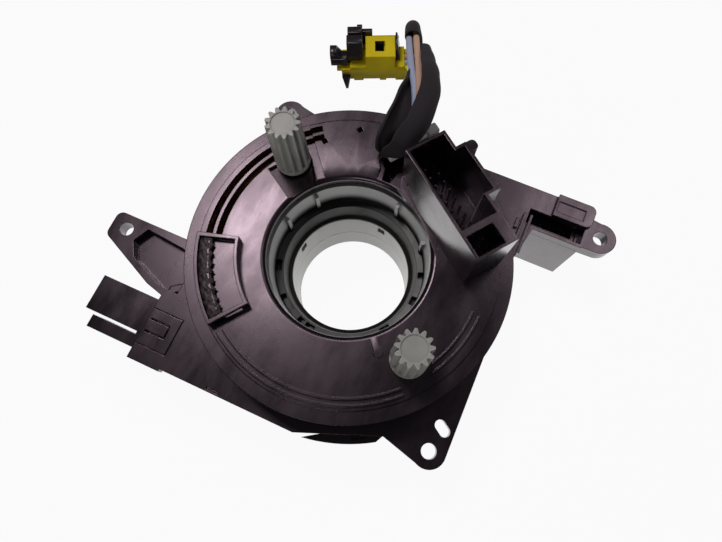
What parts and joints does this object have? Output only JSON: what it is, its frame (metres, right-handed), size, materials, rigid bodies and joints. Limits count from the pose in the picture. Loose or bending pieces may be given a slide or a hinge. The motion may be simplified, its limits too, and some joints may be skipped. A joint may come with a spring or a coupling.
{
  "type": "steering clock spring",
  "caption": "Rotary steering connector whose ribbon cable joins the turning wheel to the column, with switch socket, airbag lead, drive pegs and a built-in steering angle sensor.",
  "frame": {"origin": "on the steering axis, at the back face and the end of the column bore", "axes": "+Z along the steering axis towards the wheel, +X and +Y along the straight edges of the fixed housing, column connector towards -X"},
  "size_m": [0.1408, 0.1253, 0.0594],
  "materials": {
    "black_plastic": "satin moulded",
    "black_gloss": "smooth moulded",
    "light_plastic": "satin moulded",
    "natural_plastic": "translucent natural",
    "tinned_metal": "tin plated",
    "board": "coated board",
    "chip": "moulded package",
    "ribbon": "film over copper",
    "magnet": "plated",
    "black_rubber": "smooth tubing",
    "tan_wire": "wire insulation",
    "blue_wire": "wire insulation",
    "yellow_plastic": "smooth moulded"
  },
  "bodies": {
    "housing": {"drum_case": "black_plastic", "sensor_case": "black_plastic", "back_cover": "black_plastic", "column_connector": "black_gloss", "column_pins": "tinned_metal", "circuit_board": "board", "angle_chips": "chip", "controller_chip": "chip", "slide_ring": "natural_plastic", "ribbon_terminal": "black_plastic", "terminal_pins": "tinned_metal"},
    "rotor": {"rotor_cover": "black_plastic", "hub_sleeve": "black_plastic", "drive_ring": "light_plastic", "switch_socket": "black_gloss", "switch_pins": "tinned_metal", "side_pins": "tinned_metal", "drive_cap_1": "natural_plastic", "drive_cap_2": "natural_plastic", "ribbon_cable": "ribbon", "conductor_carrier": "black_plastic", "lead_grommet": "light_plastic", "lead_sleeve": "black_rubber", "lead_wire_tan": "tan_wire", "lead_wire_blue": "blue_wire", "lead_end_sleeve": "black_rubber", "plug_housing": "yellow_plastic", "plug_contacts": "tinned_metal"},
    "gear_a": {"measuring_gear_a": "light_plastic", "gear_magnet_a": "magnet"},
    "gear_b": {"measuring_gear_b": "light_plastic", "gear_magnet_b": "magnet"},
    "lock": {"plug_lock": "black_plastic"}
  },
  "joints": [
    {"name": "rotor_spin", "type": "hinge", "parent": "housing", "child": "rotor", "pos_m": [0, 0, 0], "axis": [0, 0, 1], "range_deg": [-900, 900]},
    {"name": "gear_a_spin", "type": "hinge", "parent": "housing", "child": "gear_a", "pos_m": [-0.02771, -0.016, 0], "axis": [0, 0, 1], "range_deg": [-2700, 2700]},
    {"name": "gear_b_spin", "type": "hinge", "parent": "housing", "child": "gear_b", "pos_m": [-0.01334, -0.02996, 0], "axis": [0, 0, 1], "range_deg": [-2460, 2460]},
    {"name": "lock_slide", "type": "slide", "parent": "rotor", "child": "lock", "axis": [0, 0, 1], "range_m": [0, 0.0025]}
  ],
  "couplings": [
    {"joint": "gear_a_spin", "follows": "rotor_spin", "ratio": -3},
    {"joint": "gear_b_spin", "follows": "rotor_spin", "ratio": -2.7273}
  ]
}
